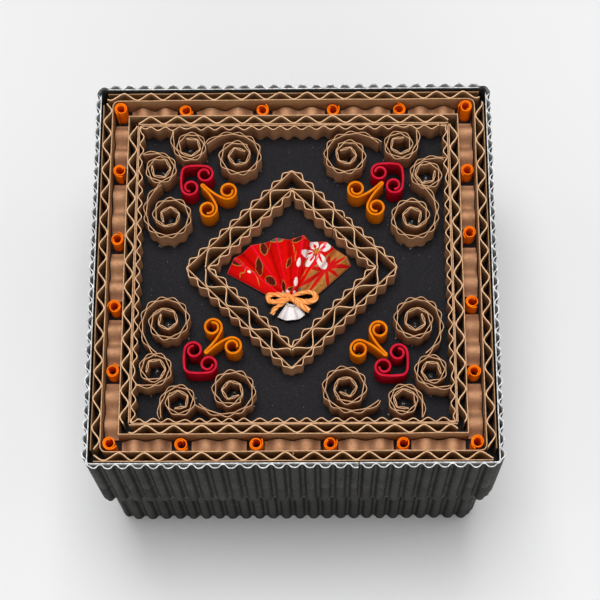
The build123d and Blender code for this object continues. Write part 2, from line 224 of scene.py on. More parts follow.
def kraftFinish(name, pale, deep, roughness=0.72, flankShade=0.0):  # brown liner paper with fibres
    f = Finish(name, roughness, 0.015)
    p = f.place()
    fibre = f.noise(f.place((0.55, 0.55, 3.2)), 1.7, 7.0, 0.68)
    cloud = f.noise(p, 0.22, 4.0)
    fleck = f.noise(f.place((1.0, 1.0, 1.6)), 3.0, 3.0)
    base = f.mix(f.ease(cloud, 0.3, 0.72), deep, pale)
    base = f.mix(f.ease(fibre, 0.36, 0.7) * 0.55, base, times(pale, 1.22))
    base = f.mix(f.ease(fleck, 0.63, 0.74) * 0.5, base, times(deep, 0.45))
    base = f.mix(f.ease(fleck, 0.34, 0.26) * 0.35, base, times(pale, 1.5))
    if flankShade:  # painted shade on a rib's sides and a painted highlight on its top
        crest = f.tag("crest")
        crestHighlight = f.ease(f.noise(p, 0.55, 5.0, 0.7), 0.44, 0.6) * f.ease(crest, 0.6, 1.0)
        base = f.mix(crestHighlight * 0.6, base, times(pale, 1.45))
        base = f.mix(crest * (1 - crest) * 4 * flankShade, base, times(deep, 0.4))
        base = f.mix(f.ease(f.noise(p, 1.1, 6.0, 0.75), 0.5, 0.68) * 0.4, base, times(deep, 0.6))
    foot = f.ease(f.tag("rise"), 1.2, 0.0) * f.ease(f.noise(p, 0.8), 0.4, 0.65)
    base = f.mix(foot * 0.45, base, times(deep, 0.42))  # glue soaked in at the foot
    rough = roughness + 0.12 * f.ease(fibre, 0.4, 0.7) - foot * 0.3
    return f.join(colour=base, roughness=rough, normal=f.bump(fibre + 0.5 * fleck, 0.07, 0.6))


def colouredFinish(name, pale, deep, roughness=0.6):  # dyed quilling paper
    f = Finish(name, roughness, 0.01)
    p = f.place()
    fibre = f.noise(f.place((1.2, 1.2, 0.5)), 2.4, 6.0, 0.6)
    cloud = f.noise(p, 0.5, 3.0)
    base = f.mix(f.ease(cloud, 0.32, 0.7), deep, pale)
    base = f.mix(f.ease(fibre, 0.5, 0.78) * 0.35, base, tuple(min(1, 1.2 * c + 0.004) for c in pale))
    base = f.mix(f.ease(f.noise(p, 6.0, 2.0), 0.6, 0.75) * 0.25, base, times(deep, 0.6))
    base = f.mix(f.ease(f.tag("rise"), 1.5, 0.0) * 0.35, base, times(deep, 0.5))
    rough = roughness + 0.15 * f.ease(fibre, 0.4, 0.7)
    return f.join(colour=base, roughness=rough, normal=f.bump(fibre, 0.05, 0.5))


def glueFinish(name):
    f = Finish(name, 0.08, 0.6)
    p = f.place()
    cloud = f.noise(p, 1.5, 2.0)
    # the pale greys stand for the glue's whitish tone and for glints: partly painted highlight
    base = f.mix(f.ease(cloud, 0.35, 0.7), (0.03, 0.029, 0.028), (0.16, 0.155, 0.15))
    f.shader.inputs["Coat Weight"].default_value = 0.6
    return f.join(colour=base, roughness=0.05 + 0.12 * cloud)


def raffiaFinish(name):  # twisted raffia with painted shade in the grooves between its fibres and painted highlights on its ridges
    f = Finish(name, 0.5, 0.3)
    around = f.tag("around")
    along = f.tag("along")
    strand = f.add("ShaderNodeCombineXYZ", {}, {0: around * 11.0, 1: along * 0.3, 2: 0.0})
    streak = f.noise(strand, 1.0, 5.0, 0.6)
    speck = f.noise(f.place(), 2.6, 3.0)
    base = f.mix(f.ease(streak, 0.34, 0.62), (0.72, 0.2, 0.026), (1.0, 0.375, 0.085))
    # painted highlight on the ridges of the twist
    base = f.mix(f.ease(streak, 0.53, 0.66) * f.ease(f.tag("crest"), 0.3, 0.8) * 0.85, base, (1.0, 0.76, 0.46))
    base = f.mix(f.ease(speck, 0.56, 0.7) * 0.4, base, (0.42, 0.11, 0.012))
    # painted shade down in the grooves
    base = f.mix(f.ease(f.tag("crest"), 0.4, 0.0) * 0.6, base, (0.45, 0.12, 0.014))
    rough = 0.42 + 0.25 * streak
    return f.join(colour=base, roughness=rough, normal=f.bump(streak + 0.4 * speck, 0.16, 0.9))


def fanFinish(name):  # red floral print with a rayed ochre ground on the right
    f = Finish(name, 0.45, 0.03)
    flat = f.place()
    drift = f.add("ShaderNodeTexNoise", {}, {"Vector": flat, "Scale": 0.75, "Detail": 2.0}, "Color")
    drift = f.add("ShaderNodeVectorMath", {"operation": "SUBTRACT"}, {0: drift, 1: (0.5, 0.5, 0.5)})
    drift = f.add("ShaderNodeVectorMath", {"operation": "MULTIPLY"}, {0: drift, 1: (0.65, 0.65, 0.0)})
    p = f.add("ShaderNodeVectorMath", {"operation": "ADD"}, {0: flat, 1: drift})  # nothing in the print is quite even
    x = f.part(flat, 0)
    y = f.part(flat, 1)
    cloud = f.noise(flat, 0.6, 3.0)
    red = f.mix(f.ease(cloud, 0.3, 0.72), (0.56, 0.003, 0.002), (0.68, 0.004, 0.003))
    lower = (x - 1.7) * 0.88 - (y + 3.1) * 0.475
    upper = (x - 4.1) * 0.7 - (y - 1.3) * 0.714
    ochreSide = f.ease(lower.atMost(upper), -0.12, 0.12)
    ochre = f.mix(f.ease(f.noise(p, 1.3, 3.0), 0.35, 0.7), (0.33, 0.13, 0.028), (0.44, 0.19, 0.045))
    base = f.mix(ochreSide, red, ochre)
    gold = (0.44, 0.235, 0.045)
    brown = (0.075, 0.012, 0.007)
    rayEye = (8.1, 1.85)
    rays = ((76, 3.4, 0.4), (47, 3.6, 0.36), (30, 5.2, 0.36), (8, 5.6, 0.42), (-33, 3.2, 0.4),
            (-85, 4.6, 0.36), (-125, 7.0, 0.4), (-144, 8.0, 0.4), (-178, 3.8, 0.42))
    for way, long, wide in rays:
        ray = f.blotch(flat, *polar(0.5 * long, way, *rayEye), 0.56 * long, 1.2 * wide, way, 0.2)
        base = f.mix(ray * ochreSide, base, (0.5, 0.006, 0.006))
    for ring, tone in ((1.0, (0.56, 0.012, 0.01)), (0.62, gold), (0.36, (0.5, 0.01, 0.01))):
        base = f.mix(f.blotch(p, 7.5, 2.2, ring, ring, 0, 0.15) * ochreSide, base, tone)
    leaves = ((-7.4, 7.3, 1.9, 0.85, 97), (-8.5, 2.4, 2.4, 0.8, 96), (1.2, 9.5, 1.7, 0.6, 10),
              (-1.1, 3.7, 1.6, 0.5, 70), (-5.7, -1.3, 1.6, 0.9, 145), (-2.4, -2.7, 1.5, 0.42, 99),
              (-14.2, 3.6, 1.9, 0.75, 155), (-0.7, -3.4, 0.9, 0.5, 30))
    for cx, cy, long, wide, way in leaves:
        base = f.mix(f.lens(p, cx, cy, long + 0.2, wide + 0.13, way), base, gold)
        base = f.mix(f.lens(p, cx, cy, long, wide, way), base, brown)
    strokes = ((-13.2, 0.4, 0.75, 80), (-12.4, 0.8, 0.7, 5), (-11.9, 1.5, 0.7, 75), (-10.6, 1.4, 1.5, -38),
               (-8.9, -1.0, 1.7, -70), (-6.2, 7.6, 1.3, 75), (0.0, 7.6, 1.6, 98), (0.5, 5.2, 1.4, 84),
               (3.0, 4.4, 2.4, 72), (2.5, 0.6, 1.9, 62))
    for cx, cy, long, way in strokes:
        base = f.mix(f.lens(p, cx, cy, long, 0.13, way) * 0.9, base, gold)
    base = f.mix(f.lens(p, -4.3, 9.6, 1.9, 1.05, 2), base, gold)
    base = f.mix(f.lens(p, -4.3, 9.8, 1.75, 1.0, 2), base, (0.045, 0.12, 0.085))
    base = f.mix(f.blotch(p, 1.5, -3.6, 0.3, 0.6, -20), base, (0.05, 0.14, 0.1))
    blossom = (5.8, 6.35)
    petals = ((5.1, 8.45, 1.4, 1.1), (7.75, 7.35, 1.6, 1.05), (3.45, 6.0, 1.5, 1.05),
              (4.1, 3.9, 1.7, 0.85), (7.0, 3.6, 2.0, 1.15))
    for cx, cy, long, wide in petals:
        way = math.degrees(math.atan2(cy - blossom[1], cx - blossom[0]))
        base = f.mix(f.blotch(p, cx, cy, long + 0.16, wide + 0.14, way, 0.12), base, (0.4, 0.02, 0.012))
        base = f.mix(f.blotch(p, cx, cy, long, wide, way, 0.12), base, (0.78, 0.74, 0.71))
        near = 0.72 * cx + 0.28 * blossom[0], 0.72 * cy + 0.28 * blossom[1]
        base = f.mix(f.lens(p, *near, 0.6 * long, 0.33, way), base, (0.68, 0.008, 0.006))
    for way in range(12, 360, 45):  # stamens
        base = f.mix(f.lens(p, *polar(0.55, way, *blossom), 0.55, 0.13, way), base, gold)
    # painted highlight along the pleat crests on the red ground
    crest = f.ease(f.tag("crest"), 0.84, 0.97)
    base = f.mix(crest * 0.85 * f.ease(lower.atMost(upper), 0.4, -0.4), base, (0.84, 0.006, 0.028))
    # painted shade down in the pleat valleys
    base = f.mix(f.ease(f.tag("crest"), 0.35, 0.0) * 0.6, base, (0.25, 0.002, 0.002))
    buds = ((1.3, 3.2, 1.15, 0.5, 80), (0.55, -1.7, 1.15, 0.45, 82), (-10.9, 0.9, 0.5, 0.3, -35))
    for cx, cy, long, wide, way in buds:
        base = f.mix(f.blotch(p, cx, cy, long, wide, way, 0.2), base, (0.84, 0.8, 0.77))
    base = f.mix(f.ease(f.tag("edge"), 0.22, 0.0) * 0.6, base, (0.6, 0.1, 0.08))
    neck = f.blotch(p, -1.2, -5.2, 2.3, 1.35, 0, 0.3) * f.ease(f.tag("crest"), 0.3, 0.75)
    base = f.mix(neck, base, (0.84, 0.8, 0.78))
    weave = f.noise(p, 8.0, 2.0)
    return f.join(colour=base, roughness=0.36 + 0.2 * weave, normal=f.bump(weave, 0.03, 0.4))


def whitePaperFinish(name):
    f = Finish(name, 0.6, 0.05)
    p = f.place()
    fibre = f.noise(f.place((2.0, 0.6, 1.0)), 2.2, 5.0)
    base = f.mix(f.ease(fibre, 0.3, 0.7), (0.72, 0.69, 0.69), (0.88, 0.86, 0.86))
    base = f.mix(f.ease(f.noise(p, 0.9, 3.0), 0.64, 0.74) * 0.35, base, (0.75, 0.4, 0.36))
    # painted shade down in the fold valleys
    base = f.mix(f.ease(f.tag("crest"), 0.35, 0.0) * 0.55, base, (0.36, 0.25, 0.22))
    return f.join(colour=base, normal=f.bump(fibre, 0.06, 0.6))


panelCard = cardFinish("panelCard", (0.0085, 0.0078, 0.0095))
trayCard = cardFinish("trayCard", (0.012, 0.0115, 0.0115))
ribbedBlack = ribbedBlackFinish("ribbedBlack")
blackEdge = edgeFinish("blackEdge", (0.82, 0.82, 0.81), (0.45, 0.45, 0.45), 47.0)
fluteGrey = edgeFinish("fluteGrey", (0.8, 0.8, 0.8), (0.55, 0.55, 0.55))
kraftBoard = kraftFinish("kraftBoard", (0.44, 0.258, 0.128), (0.3, 0.168, 0.082))
kraftRibbed = kraftFinish("kraftRibbed", (0.4, 0.205, 0.106), (0.26, 0.13, 0.065))
kraftTile = kraftFinish("kraftTile", (0.52, 0.278, 0.152), (0.375, 0.19, 0.1), flankShade=0.4)
kraftEdge = edgeFinish("kraftEdge", (0.66, 0.4, 0.225), (0.48, 0.275, 0.15))
fluteEdge = edgeFinish("fluteEdge", (0.78, 0.5, 0.3), (0.6, 0.36, 0.2))
orangeRoll = colouredFinish("orangeRoll", (0.95, 0.2, 0.004), (0.82, 0.135, 0.002))
orangeQuill = colouredFinish("orangeQuill", (0.74, 0.205, 0.005), (0.62, 0.145, 0.003))
redQuill = colouredFinish("redQuill", (0.5, 0.007, 0.022), (0.37, 0.004, 0.014))
redEdge = colouredFinish("redEdge", (0.56, 0.014, 0.036), (0.45, 0.008, 0.024))
glue = glueFinish("glue")
raffia = raffiaFinish("raffia")
fanPrint = fanFinish("fanPrint")
fanWhite = whitePaperFinish("fanWhite")
print("finishes made:", len(bpy.data.materials))


def inScene(name, data):
    item = bpy.data.objects.new(name, data)
    bpy.context.scene.collection.objects.link(item)
    return item


class Paper:  # gathers the papers of one piece
    def __init__(self, name):
        self.name = name
        self.places = []
        self.faces = []
        self.kinds = []
        self.tags = dict(along=[], rise=[], edge=[], crest=[], around=[])
        self.count = 0

    def put(self, places, faces, kinds, **tags):
        places = np.asarray(places, float).reshape(-1, 3)
        self.faces += [tuple(int(k) + self.count for k in face) for face in faces]
        self.kinds += list(kinds)
        self.places.append(places)
        for key, stored in self.tags.items():
            stored.append(np.broadcast_to(np.asarray(tags.get(key, 1.0), float), len(places)))
        self.count += len(places)

    def finish(self, body, nodes, slotName, *materials, sharp=38):
        mesh = bpy.data.meshes.new(self.name)
        mesh.from_pydata((np.concatenate(self.places) * mm).tolist(), [], self.faces)
        for material in materials:
            mesh.materials.append(material)
        mesh.polygons.foreach_set("material_index", np.array(self.kinds, np.int32))
        for key, stored in self.tags.items():
            store = mesh.attributes.new(key, "FLOAT", "POINT")
            store.data.foreach_set("value", np.concatenate(stored).astype(np.float32))
        work = bmesh.new()
        work.from_mesh(mesh)
        bmesh.ops.recalc_face_normals(work, faces=work.faces)
        work.to_mesh(mesh)
        work.free()
        mesh.shade_smooth()
        mesh.set_sharp_from_angle(angle=math.radians(sharp))
        piece = inScene(self.name, mesh)
        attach(piece, body)
        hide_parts(*nodes)


def travel(path):  # distance along a path at each of its points
    steps = np.hypot(*np.diff(path, axis=0).T)
    return np.concatenate([[0.0], np.cumsum(steps)])


def leftOf(path):  # mitred normals on the left of a path
    ahead = np.diff(path, axis=0)
    ahead /= np.maximum(np.hypot(*ahead.T), 1e-9)[:, None]
    before = np.vstack([ahead[:1], ahead])
    after = np.vstack([ahead, ahead[-1:]])
    middle = before + after
    middle /= np.maximum(np.hypot(*middle.T), 1e-9)[:, None]
    stretch = 1 / np.maximum((middle * after).sum(1), 0.6)
    return np.column_stack([-middle[:, 1], middle[:, 0]]) * stretch[:, None]


def even(path, step):  # the same path with points a step apart
    run = travel(path)
    count = max(2, int(round(run[-1] / step)) + 1)
    at = np.linspace(0, run[-1], count)
    return np.column_stack([np.interp(at, run, path[:, 0]), np.interp(at, run, path[:, 1])])


def folded(points, radius, step):  # polyline with small rounded folds
    points = np.asarray(points, float)
    out = [points[0]]
    for before, at, after in zip(points, points[1:], points[2:]):
        inWay = (at - before) / np.hypot(*(at - before))
        outWay = (after - at) / np.hypot(*(after - at))
        bend = math.acos(float(np.clip(inWay @ outWay, -1, 1)))
        cut = min(radius * math.tan(bend / 2), 0.45 * np.hypot(*(at - before)), 0.45 * np.hypot(*(after - at)))
        for t in np.linspace(0, 1, 6):
            out.append((1 - t) ** 2 * (at - inWay * cut) + 2 * t * (1 - t) * at + t ** 2 * (at + outWay * cut))
    out.append(points[-1])
    return even(np.array(out), step)


def wander(along, reach, every, seed):  # slow seeded drift along a strip
    values = np.random.default_rng(seed).uniform(-reach, reach, int(along[-1] / every) + 3)
    spot = along / every
    k = np.floor(spot).astype(int)
    f = spot - k
    f = f * f * (3 - 2 * f)
    return values[k] * (1 - f) + values[k + 1] * f


def quarterTurns(path, turns):
    for _ in range(turns % 4):
        path = np.column_stack([-path[:, 1], path[:, 0]])
    return path


halved = (0.0, 0.5, 1.0)  # levels of a paper with a row of points at mid height


def turned(path, degrees):
    c = math.cos(math.radians(degrees))
    s = math.sin(math.radians(degrees))
    return np.column_stack([path[:, 0] * c - path[:, 1] * s, path[:, 0] * s + path[:, 1] * c])


def wall(piece, path, thick, low, high, crest=0.0, levels=(0.0, 1.0), lean=None, kinds=(0, 0, 1), lay=None):
    # a paper on edge: two faces, cut edges above and below, and its two ends
    count = len(path)
    rows = len(levels)
    normal = leftOf(path)
    low = np.broadcast_to(np.asarray(low, float), count)
    high = np.broadcast_to(np.asarray(high, float), count)
    lean = lean or [np.zeros(count)] * rows
    places = np.zeros((count, rows, 2, 3))
    for j, level in enumerate(levels):
        for k, way in enumerate((0.5, -0.5)):
            places[:, j, k, :2] = path + normal * (way * thick + lean[j])[:, None]
            places[:, j, k, 2] = low + (high - low) * level
    index = np.arange(count * rows * 2).reshape(count, rows, 2)
    faces = []
    marks = []
    for j in range(rows - 1):
        for a, b in ((0, 1), (1, 0)):
            quad = np.stack([index[a:count - 1 + a, j, 0], index[b:count - 1 + b, j, 0],
                             index[b:count - 1 + b, j + 1, 0], index[a:count - 1 + a, j + 1, 0]], 1)
            faces += (quad + 1 - a).tolist()
            marks += [kinds[1 - a]] * (count - 1)
    for j in (0, rows - 1):
        quad = np.stack([index[:-1, j, 1], index[1:, j, 1], index[1:, j, 0], index[:-1, j, 0]], 1)
        faces += (quad if j else quad[:, ::-1]).tolist()
        marks += [kinds[2]] * (count - 1)
    for j in range(rows - 1):
        faces.append([index[0, j, 0], index[0, j, 1], index[0, j + 1, 1], index[0, j + 1, 0]])
        faces.append([index[-1, j, 1], index[-1, j, 0], index[-1, j + 1, 0], index[-1, j + 1, 1]])
        marks += [kinds[-1]] * 2
    rise = places[..., 2] - low[:, None, None]
    edge = high[:, None, None] - places[..., 2]
    crests = np.repeat(np.broadcast_to(crest, count), rows * 2)
    placed = places.reshape(-1, 3)
    placed = lay(placed) if lay else placed
    piece.put(placed, faces, marks, rise=rise.ravel(), edge=edge.ravel(), crest=crests)


def ribs(run, pitch, shift=0.0, full=1.0):  # 0 in a valley, 1 on a crest
    wave = 0.5 - 0.5 * np.cos(2 * math.pi * (run / pitch + shift))
    return wave ** full


def lobes(run, pitch, shift):  # broad round crests with steep sides and narrow valleys
    wave = ribs(run, pitch, shift)
    steep = np.clip((wave - 0.03) / 0.6, 0, 1)
    return 0.5 * steep * steep * (3 - 2 * steep) + 0.5 * wave


def zigzag(run, pitch, shift=0.0, point=0.95):  # rounded zigzag between 0 and 1
    return 0.5 - 0.5 * np.arcsin(point * np.cos(2 * math.pi * (run / pitch + shift))) / math.asin(point)


def squareLoop(half, seam, radius, step, quarter=0):  # a strip round a square, its ends meeting at the seam
    gap = box["seamGap"]
    folds = [(half, -half), (half, half), (-half, half), (-half, -half)]
    points = [(seam + gap / 2, -half), *folds, (seam - gap / 2, -half)]
    return quarterTurns(folded(points, radius, step), quarter)


def calmCorners(path, half, plain):  # 0 at the folds of a square loop, 1 away from them
    near = half - np.minimum(np.abs(path[:, 0]), np.abs(path[:, 1]))
    share = np.clip(near / plain, 0, 1)
    return share * share * (3 - 2 * share)


cladding = dict(liner=0.24, paper=0.26, rib=1.25, pitch=3.63, plain=1.6, fold=0.8, step=0.26, crease=0.42)


def clad(name, node, body, half, low, high, seam, quarter, shift, dents, seed):
    s = cladding
    piece = Paper(name)
    levels = (0.0, 0.33, 0.36, 0.39, 0.6, 0.85, 1.0)
    path = squareLoop(half + s["liner"] / 2, seam, s["fold"], s["step"], quarter)
    run = travel(path)
    top = high - 0.12 + wander(run, 0.1, 9, seed)
    wall(piece, path, s["liner"], low, top, levels=levels, kinds=(0, 2, 1, 0))
    calm = calmCorners(path, half, s["plain"])
    turn = run + wander(run, 0.35, 14, seed + 1)
    wave = lobes(turn, s["pitch"], shift) * (0.25 + 0.75 * calm)
    height = s["rib"] - s["paper"]
    off = -(s["liner"] / 2 + s["paper"] / 2 + height * wave)
    ribPath = path + leftOf(path) * off[:, None]
    press = np.abs(wander(run, dents, 3.4, seed + 2) * wave)  # crushed crests and one crease round the strip
    crease = np.abs(wander(run, s["crease"], 5.5, seed + 3)) * wave
    lean = [press, 0.6 * press, 0.4 * press + crease, 0.3 * press, 0.4 * press[::-1] * wave, 0.5 * press,
            np.abs(wander(run, dents, 2.6, seed + 4)) * wave]
    ribTop = high - 0.1 + wander(run, 0.1, 6, seed + 5)
    wall(piece, ribPath, s["paper"], low, ribTop, np.maximum(wave, 1 - calm), levels, lean, (2, 0, 1, 0))
    piece.finish(body, [node], "black_ribbed", ribbedBlack, blackEdge, fluteGrey)


clad("baseCladdingPaper", "base_cladding", "base", box["halfTray"], 0.0, box["trayTop"], 0.0, 2, 0.45, 0.1, 21)
clad("lidCladdingPaper", "lid_cladding", "lid", box["halfLid"], box["lidHem"], box["rimTop"], 15.5, 0, 0.0, 0.16, 31)
for node, material in (("base_tray", trayCard), ("lid_shell", panelCard)):
    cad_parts[node].data.materials.clear()
    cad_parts[node].data.materials.append(material)
print("box clad")

board = dict(paper=0.21, flute=0.28, depth=2.55, pitch=6.6, height=6.4, outer=48.1, railOuter=41.5)


def standing(piece, path, seed, height, thick, drop=0.0, crest=0.0, kinds=(0, 0, 1)):
    # a strip glued on the panel, its top a little uneven
    top = panelTop + height - drop + wander(travel(path), 0.12, 7, seed)
    wall(piece, path, thick, glueTop, np.minimum(top, panelTop + height), crest=crest, kinds=kinds)


def boardRun(piece, start, end, low, high, side, seed, skins=(True, True), inset=0.0, sunk=0.0):
    s = board
    turn = sides[side]
    for k, (shown, at) in enumerate(zip(skins, (low + s["paper"] / 2, high - s["paper"] / 2))):
        # the top edge of a sunk skin takes the darker face colour instead of the pale edge colour: painted shade
        shadedEdges = (0, 0, 0) if sunk and k else (0, 0, 1)
        if shown:
            ends = inset if k == 0 else 0.0
            skin = np.column_stack([np.linspace(start + ends, end - ends, 90), np.full(90, -at)])
            skin[:, 1] += wander(travel(skin), 0.05, 11, seed + k)
            standing(piece, quarterTurns(skin, turn), seed + 3 + k, s["height"], s["paper"], drop=sunk * k, kinds=shadedEdges)
    span = np.linspace(start + inset, end - inset, int((end - start) / s["pitch"] * 18))
    shift = wander(span - span[0], 0.05, 6, seed + 6) + (seed % 7) / 7
    share = zigzag(span - span[0], s["pitch"], shift, 0.72)
    inner = low + s["paper"] + s["flute"] / 2
    outer = high - s["paper"] - s["flute"] / 2
    flute = np.column_stack([span, -(inner + (outer - inner) * share)])
    standing(piece, quarterTurns(flute, turn), seed + 9, s["height"], s["flute"], drop=0.1, kinds=(0, 0, 2))


frameInner = board["outer"] - board["depth"]
outerFrame = Paper("outerFramePaper")
liner = squareLoop(frameInner + board["paper"] / 2, 0.0, 1.6, 0.9)
liner = liner + leftOf(liner) * wander(travel(liner), 0.06, 13, 40)[:, None]
standing(outerFrame, liner, 41, board["height"], board["paper"])
for k, side in enumerate(sides):
    reach = frameInner + (1.5 if side in ("front", "back") else -0.6)
    sunk = 0.0 if side == "front" else 1.0
    boardRun(outerFrame, -reach, reach, frameInner, board["outer"], side, 50 + 20 * k, (False, True), sunk=sunk)
outerFrame.finish("lid", ["outer_frame"], "kraft_board", kraftBoard, kraftEdge, fluteEdge)

railInner = board["railOuter"] - board["depth"]
for k, side in enumerate(sides):
    rail = Paper("innerRail" + side.capitalize())
    reach = board["railOuter"] if side in ("front", "back") else board["railOuter"] - board["paper"] - 0.05
    boardRun(rail, -reach, reach, railInner, board["railOuter"], side, 150 + 20 * k, inset=board["depth"])
    rail.finish("lid", ["inner_rail_" + side], "kraft_board", kraftBoard, kraftEdge, fluteEdge)
print("frame and rails built")

coils = dict(
    liner=0.19, paper=0.17, pitch=2.9, height=6.2, samples=72, smallReach=4.65, glueBack=0.8, glueFoot=0.3,
    loose=dict(a=1.07, b=1.07, c=1.07, d=1.03),
    # how the liner opens out: turns from the eye, and its radius there
    small=dict(turns=(0, 0.3, 1.0, 1.3, 1.75), radii=(1.75, 2.3, 2.75, 3.15, 3.5), rib=0.74, tail=1.9, tailTurns=0.2),
    big=dict(turns=(0, 0.25, 0.95, 1.35, 1.7, 2.1), radii=(1.75, 2.15, 2.6, 3.9, 4.6, 5.1),
             rib=0.82, tail=3.0, tailTurns=0.25),
    ends=dict(a=44, b=42, c=76, d=22), spins=dict(a=1, b=-1, c=1, d=-1),
    places=dict(
        backLeft=dict(a=(25.9, 33.3), b=(33.3, 27.0), c=(30.74, 14.34), d=(13.82, 30.55)),
        backRight=dict(a=(26.78, 33.3), b=(33.3, 25.25), c=(29.58, 13.86), d=(13.48, 30.55)),
        frontLeft=dict(a=(27.27, 33.3), b=(33.3, 25.1), c=(30.74, 12.89), d=(14.64, 30.74)),
        frontRight=dict(a=(26.41, 33.3), b=(33.3, 25.88), c=(29.77, 13.11), d=(12.7, 30.07)),
    ),
)

ribbed = dict(liner=0.24, paper=0.21, rib=1.2, pitch=3.63, height=6.2, step=0.36)


def ribbedStrip(piece, path, way, seed, calm, shift=0.0):
    s = ribbed
    run = travel(path)
    standing(piece, path, seed, s["height"], s["liner"])
    wave = ribs(run + wander(run, 0.3, 9, seed + 1), s["pitch"], shift, 0.9) * calm
    off = s["liner"] / 2 + s["paper"] / 2 + 0.02 + (s["rib"] - s["paper"] - 0.04) * wave
    rippled = path + leftOf(path) * (way * off)[:, None]
    standing(piece, rippled, seed + 2, s["height"], s["paper"], drop=0.08, crest=wave, kinds=(0, 0, 2))


borderSpec = dict(half=38.85, seam=-36.9, fold=0.7, plain=2.6)
border = Paper("borderStripPaper")
borderHalf = borderSpec["half"]
borderPath = squareLoop(borderHalf - ribbed["liner"] / 2, borderSpec["seam"], borderSpec["fold"], ribbed["step"], 2)
borderCalm = calmCorners(borderPath, borderHalf, borderSpec["plain"])
for corner, (flipX, flipY) in corners.items():
    for name in "ab":  # the coils press the ribs flat here
        x, y = coils["places"][corner][name]
        clear = np.hypot(borderPath[:, 0] - flipX * x, borderPath[:, 1] - flipY * y) - coils["smallReach"]
        borderCalm = np.minimum(borderCalm, np.clip((clear - 0.15) / ribbed["rib"], 0.1, 1))
ribbedStrip(border, borderPath, 1, 240, borderCalm)
border.finish("lid", ["border_strip"], "kraft_ribbed", kraftRibbed, kraftEdge, fluteEdge)

diamond = dict(x=-0.37, y=0.49, inner=14.5, outer=18.0, pitch=7.6)


def onDiamond(path):  # turn a front-first square onto its corner
    return turned(path, 135) + (diamond["x"], diamond["y"])


def dab(piece, x, y, radius, height, kind, seed):  # a bead of glue on the panel
    rng = np.random.default_rng(seed)
    rings = 4
    count = 14
    wobble = 1 + 0.25 * np.interp(np.arange(count), np.arange(0, count + 1, 2), rng.uniform(-1, 1, count // 2 + 1))
    places = [(x, y, panelTop + height), (x, y, glueTop)]
    for ring in range(1, rings + 1):
        reach = math.sin(0.5 * math.pi * ring / rings)
        lift = math.cos(0.5 * math.pi * ring / rings)
        for k in range(count):
            angle = 2 * math.pi * k / count
            out = radius * reach * wobble[k]
            top = glueTop + (height - box["film"]) * lift
            places.append((x + out * math.cos(angle), y + out * math.sin(angle), top))
    faces = []
    for k in range(count):
        after = (k + 1) % count
        faces.append((0, 2 + k, 2 + after))
        for ring in range(rings - 1):
            a = 2 + ring * count
            faces.append((a + k, a + count + k, a + count + after, a + after))
        last = 2 + (rings - 1) * count
        faces.append((1, last + after, last + k))
    piece.put(places, faces, [kind] * len(faces))


for name, node, half, way, seed in (("diamondInnerPaper", "diamond_inner_strip", diamond["inner"] + 0.15, 1, 260),
                                    ("diamondOuterPaper", "diamond_outer_strip", diamond["outer"] + 0.15, -1, 280)):
    strip = Paper(name)
    loop = squareLoop(half, 0.0, 0.6, ribbed["step"])
    ribbedStrip(strip, onDiamond(loop), way, seed, calmCorners(loop, half, 2.4), shift=0.15)
    strip.finish("lid", [node], "kraft_ribbed", kraftRibbed, kraftEdge, fluteEdge)
for k, side in enumerate(sides):
    flutes = Paper("diamondFlutes" + side.capitalize())
    low = diamond["inner"] + 0.3
    waves = max(1, round(2 * low / diamond["pitch"]))
    span = np.linspace(-low, low, waves * 20 + 1)
    share = zigzag(np.linspace(0, waves, len(span)), 1.0, wander(span + low, 0.09, 5, 300 + k), 0.6)
    path = np.column_stack([span, -(low + 0.17 + (diamond["outer"] - low - 0.34) * share)])
    standing(flutes, onDiamond(quarterTurns(path, sides[side])), 310 + k, ribbed["height"], 0.23, drop=0.12)
    rng = np.random.default_rng(330 + k)
    for j in range(5):
        spot = np.array([[rng.uniform(-low, low), -rng.uniform(low + 0.6, diamond["outer"] - 0.6)]])
        bead = onDiamond(quarterTurns(spot, sides[side]))[0]
        dab(flutes, *bead, rng.uniform(0.3, 0.6), rng.uniform(0.2, 0.4), 2, 340 + 5 * k + j)
    flutes.finish("lid", ["diamond_flutes_" + side], "kraft_board", kraftBoard, fluteEdge, glue)
print("border and diamond built")

tubes = dict(
    height=6.6, low=5.1, core=0.92, radius=1.66, paper=0.26, turns=1.75, flap=0.3, middle=43.525,
    places=dict(front=(-26.58, -8.83, 8.73, 26.09), right=(-25.7, -8.05, 9.99, 26.68),
                back=(-26.77, -9.99, 7.86, 27.26), left=(-27.16, -8.73, 8.83, 25.22)),
)


def tubeRow(side, seed):
    s = tubes
    piece = Paper("rolledTubes" + side.capitalize())
    rng = np.random.default_rng(seed)
    for along in (-s["middle"], *s["places"][side]):
        count = 64
        share = np.linspace(0, 1, count)
        angle = rng.uniform(0, 6.28) + share * s["turns"] * 2 * math.pi
        grown = s["core"] + (s["radius"] - s["paper"] / 2 - s["core"]) * share ** 0.8
        grown *= 1 + 0.03 * np.sin(2 * angle + rng.uniform(0, 6))
        grown = np.minimum(grown, s["radius"] - s["paper"] / 2) + s["flap"] * np.clip((share - 0.9) / 0.1, 0, 1) ** 1.5
        path = np.column_stack([along + grown * np.cos(angle), -s["middle"] + grown * np.sin(angle)])
        tall = s["height"] if along == -s["middle"] else s["low"]
        twist = tall - rng.uniform(0, 0.25) - 0.35 * rng.uniform(-0.3, 1) * (1 - share)
        slope = rng.uniform(-0.04, 0.04) * (path[:, 0] - along)
        wall(piece, quarterTurns(path, sides[side]), s["paper"], glueTop,
             panelTop + np.minimum(twist + slope, s["height"]), levels=halved)
    piece.finish("lid", ["rolled_tubes_" + side], "orange_roll", orangeRoll, orangeRoll)


tiles = dict(sideGap=0.35, endGap=0.9, crest=3.0, valley=0.8, paper=0.3, pitch=6.6, width=4.05)


